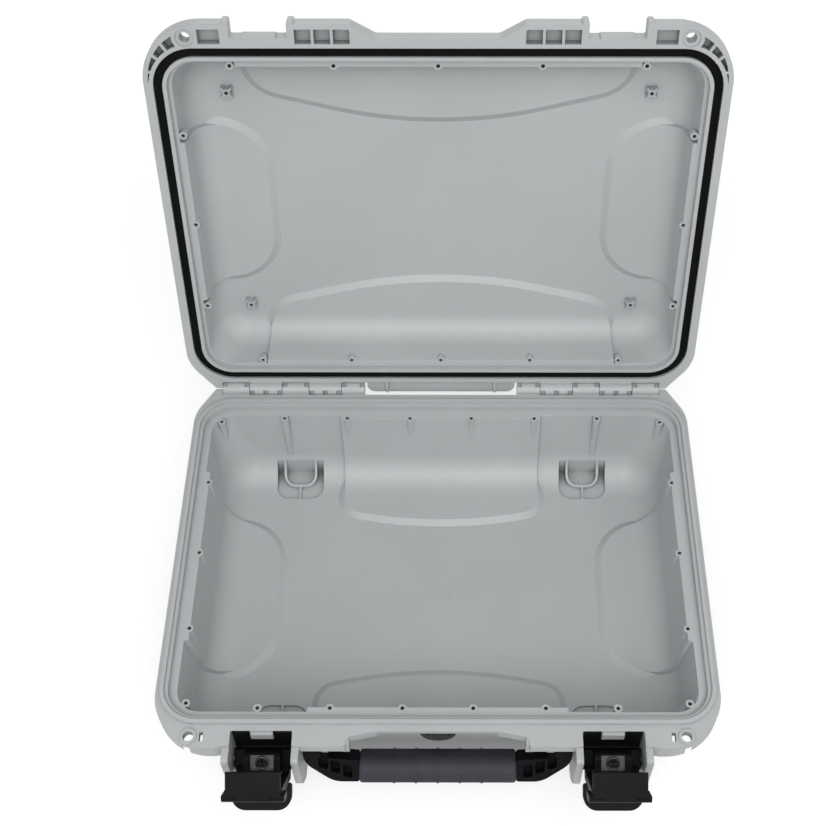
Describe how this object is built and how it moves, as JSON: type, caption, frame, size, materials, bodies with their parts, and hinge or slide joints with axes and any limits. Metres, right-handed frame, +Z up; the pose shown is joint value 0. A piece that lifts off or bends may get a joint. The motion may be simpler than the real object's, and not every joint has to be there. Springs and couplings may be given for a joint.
{
  "type": "protective hard case",
  "caption": "Small moulded hard case standing open: deep ribbed base, hinged gasketed lid, folding handle, draw latches and a pressure valve.",
  "frame": {"origin": "middle of the base's flat underside, under the seal line's centre", "axes": "+X to the right seen from the handle side, +Y towards the hinges, +Z up"},
  "size_m": [0.3672, 0.4135, 0.3419],
  "materials": {
    "shell_plastic": "fine moulded grain",
    "gasket_rubber": "matte",
    "steel": "ground",
    "black_plastic": "satin",
    "grip_rubber": "soft matte",
    "retainer_plastic": "satin",
    "black_screw": "black coated",
    "valve_plastic": "matte"
  },
  "bodies": {
    "base": {"base_shell": "shell_plastic", "hinge_pin_left": "steel", "hinge_pin_right": "steel", "handle_pin_left": "steel", "handle_pin_right": "steel", "latch_lever_pin_left": "steel", "latch_lever_pin_right": "steel", "latch_liner_left": "black_plastic", "latch_liner_right": "black_plastic", "pressure_valve_body": "black_plastic", "pressure_valve_cap": "valve_plastic", "pressure_valve_seal": "gasket_rubber", "pressure_valve_nut": "black_plastic"},
    "lid": {"lid_shell": "shell_plastic", "lid_gasket": "gasket_rubber"},
    "handle": {"handle_frame": "black_plastic", "handle_grip": "grip_rubber"},
    "latch_lever_left": {"latch_lever_left": "black_plastic", "latch_claw_pins_left": "steel", "latch_retainer_left": "retainer_plastic", "latch_screw_left": "black_screw"},
    "latch_claw_left": {"latch_claw_left": "black_plastic"},
    "latch_lever_right": {"latch_lever_right": "black_plastic", "latch_claw_pins_right": "steel", "latch_retainer_right": "retainer_plastic", "latch_screw_right": "black_screw"},
    "latch_claw_right": {"latch_claw_right": "black_plastic"}
  },
  "joints": [
    {"name": "lid_hinge", "type": "hinge", "parent": "base", "child": "lid", "pos_m": [0, 0.1362, 0.0715], "axis": [-1, 0, 0], "range_deg": [-105, 0]},
    {"name": "handle_pivot", "type": "hinge", "parent": "base", "child": "handle", "pos_m": [0, -0.129, 0.054], "axis": [-1, 0, 0], "range_deg": [0, 64]},
    {"name": "latch_lever_pivot_left", "type": "hinge", "parent": "base", "child": "latch_lever_left", "pos_m": [-0.1095, -0.138, 0.047], "axis": [1, 0, 0], "range_deg": [0, 55]},
    {"name": "latch_claw_pivot_left", "type": "hinge", "parent": "latch_lever_left", "child": "latch_claw_left", "pos_m": [-0.1095, -0.14742, 0.04651], "axis": [1, 0, 0], "range_deg": [-100, 4]},
    {"name": "latch_lever_pivot_right", "type": "hinge", "parent": "base", "child": "latch_lever_right", "pos_m": [0.1095, -0.138, 0.047], "axis": [1, 0, 0], "range_deg": [0, 55]},
    {"name": "latch_claw_pivot_right", "type": "hinge", "parent": "latch_lever_right", "child": "latch_claw_right", "pos_m": [0.1095, -0.14742, 0.04651], "axis": [1, 0, 0], "range_deg": [-100, 4]}
  ],
  "couplings": [
    {"joint": "latch_claw_pivot_left", "follows": "latch_lever_pivot_left", "ratio": -1.6545},
    {"joint": "latch_claw_pivot_right", "follows": "latch_lever_pivot_right", "ratio": -1.6545}
  ]
}
